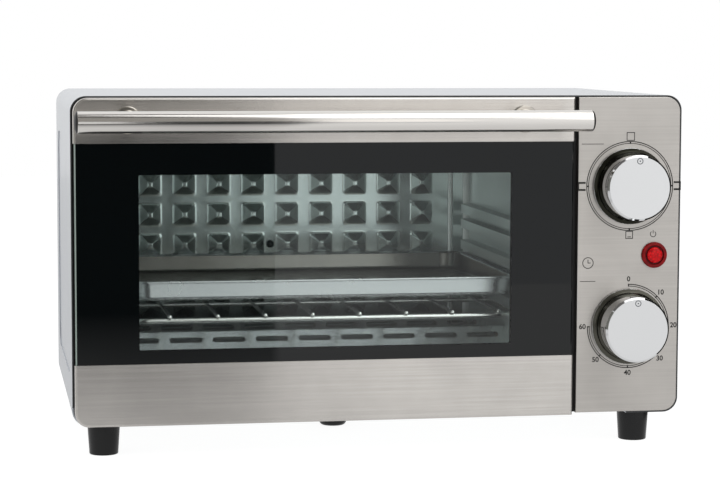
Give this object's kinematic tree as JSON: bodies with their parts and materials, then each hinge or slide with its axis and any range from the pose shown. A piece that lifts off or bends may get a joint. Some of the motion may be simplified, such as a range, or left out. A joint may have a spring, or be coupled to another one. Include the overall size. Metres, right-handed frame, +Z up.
{
  "type": "portable mini oven",
  "caption": "Small counter-top electric oven with a drop-down glass door, bar handle, wire rack, baking tray, function knob, timer knob and pilot lamp.",
  "frame": {"origin": "on the table, under the middle of the box that holds the whole oven", "axes": "+X to the right as one faces the door, +Y from the door to the back, +Z up"},
  "size_m": [0.362, 0.2572, 0.2082],
  "materials": {
    "satin_steel": "brushed along X, satin",
    "casing_paint": "silver baked paint, satin",
    "galvanised_sheet": "galvanised, dull",
    "blackened_steel": "black heat-proof paint",
    "door_pane": "tempered, with a black printed border",
    "silicone": "matt",
    "handle_steel": "polished",
    "black_plastic": "moulded, satin",
    "post_metal": "plated",
    "plated_fixings": "zinc plated",
    "heater_sheath": "oxidised sheath",
    "steatite": "unglazed",
    "chromed_wire": "plated",
    "tray_sheet": "rolled, satin",
    "knob_finish": "metallised",
    "switch_moulding": "moulded",
    "red_lens": "clear red moulding",
    "neon_glass": "clear",
    "wire_sleeve": "braided sleeve"
  },
  "bodies": {
    "oven_body": {"control_panel": "satin_steel", "outer_casing": "casing_paint", "base_pan": "galvanised_sheet", "rear_cover": "galvanised_sheet", "front_frame": "galvanised_sheet", "cavity_left_wall": "galvanised_sheet", "cavity_right_wall": "galvanised_sheet", "cavity_ceiling": "galvanised_sheet", "cavity_floor": "galvanised_sheet", "cavity_back_wall": "galvanised_sheet", "heater_guards": "galvanised_sheet", "heat_shield": "galvanised_sheet", "mains_inlet_bush": "black_plastic", "front_left_foot": "black_plastic", "front_right_foot": "black_plastic", "rear_left_foot": "black_plastic", "rear_right_foot": "black_plastic", "centre_foot": "black_plastic", "hinge_brackets": "plated_fixings", "hinge_screws": "plated_fixings", "casing_screws": "plated_fixings", "panel_screws": "plated_fixings", "rear_cover_screws": "plated_fixings", "back_wall_screw": "plated_fixings", "switch_screws": "plated_fixings", "terminal_screws": "plated_fixings", "foot_screws": "plated_fixings", "foot_nuts": "plated_fixings", "heater_link_bars": "plated_fixings", "timer_bell": "plated_fixings", "pilot_lamp_nut": "plated_fixings", "upper_heater_tubes": "heater_sheath", "lower_heater_tubes": "heater_sheath", "heater_insulators": "steatite", "function_switch": "switch_moulding", "timer_body": "switch_moulding", "thermal_cutout": "switch_moulding", "terminal_block": "switch_moulding", "pilot_lamp_lens": "red_lens", "neon_bulb": "neon_glass", "internal_wires": "wire_sleeve"},
    "door": {"door_top_rail": "satin_steel", "door_bottom_rail": "satin_steel", "door_stiles": "blackened_steel", "door_glass": "door_pane", "glass_pads": "silicone", "handle_tube": "handle_steel", "handle_end_caps": "black_plastic", "handle_posts": "post_metal", "handle_screws": "plated_fixings", "door_hinge_lugs": "blackened_steel", "door_hinge_pins": "plated_fixings"},
    "function_control": {"function_knob": "knob_finish", "function_shaft": "plated_fixings"},
    "timer_control": {"timer_knob": "knob_finish", "timer_shaft": "plated_fixings"},
    "sliding_rack": {"wire_rack": "chromed_wire"},
    "sliding_tray": {"baking_tray": "tray_sheet"},
    "sliding_crumb_tray": {"crumb_tray": "tray_sheet"}
  },
  "joints": [
    {"name": "door_hinge", "type": "hinge", "parent": "oven_body", "child": "door", "pos_m": [0, -0.08255, 0.0216], "axis": [1, 0, 0], "range_deg": [0, 80]},
    {"name": "function_knob_turn", "type": "hinge", "parent": "oven_body", "child": "function_control", "pos_m": [0.1493, -0.08295, 0.1543], "axis": [0, 1, 0], "range_deg": [0, 270]},
    {"name": "timer_knob_turn", "type": "hinge", "parent": "oven_body", "child": "timer_control", "pos_m": [0.1493, -0.08295, 0.0704], "axis": [0, 1, 0], "range_deg": [0, 270]},
    {"name": "rack_slide", "type": "slide", "parent": "oven_body", "child": "sliding_rack", "axis": [0, -1, 0], "range_m": [0, 0.075]},
    {"name": "tray_slide", "type": "slide", "parent": "oven_body", "child": "sliding_tray", "axis": [0, -1, 0], "range_m": [0, 0.081]},
    {"name": "crumb_tray_slide", "type": "slide", "parent": "oven_body", "child": "sliding_crumb_tray", "axis": [0, -1, 0], "range_m": [0, 0.02]}
  ],
  "couplings": [
    {"joint": "rack_slide", "follows": "door_hinge", "m_per_rad": 0.053},
    {"joint": "tray_slide", "follows": "door_hinge", "m_per_rad": 0.0573},
    {"joint": "crumb_tray_slide", "follows": "door_hinge", "m_per_rad": 0.014}
  ]
}
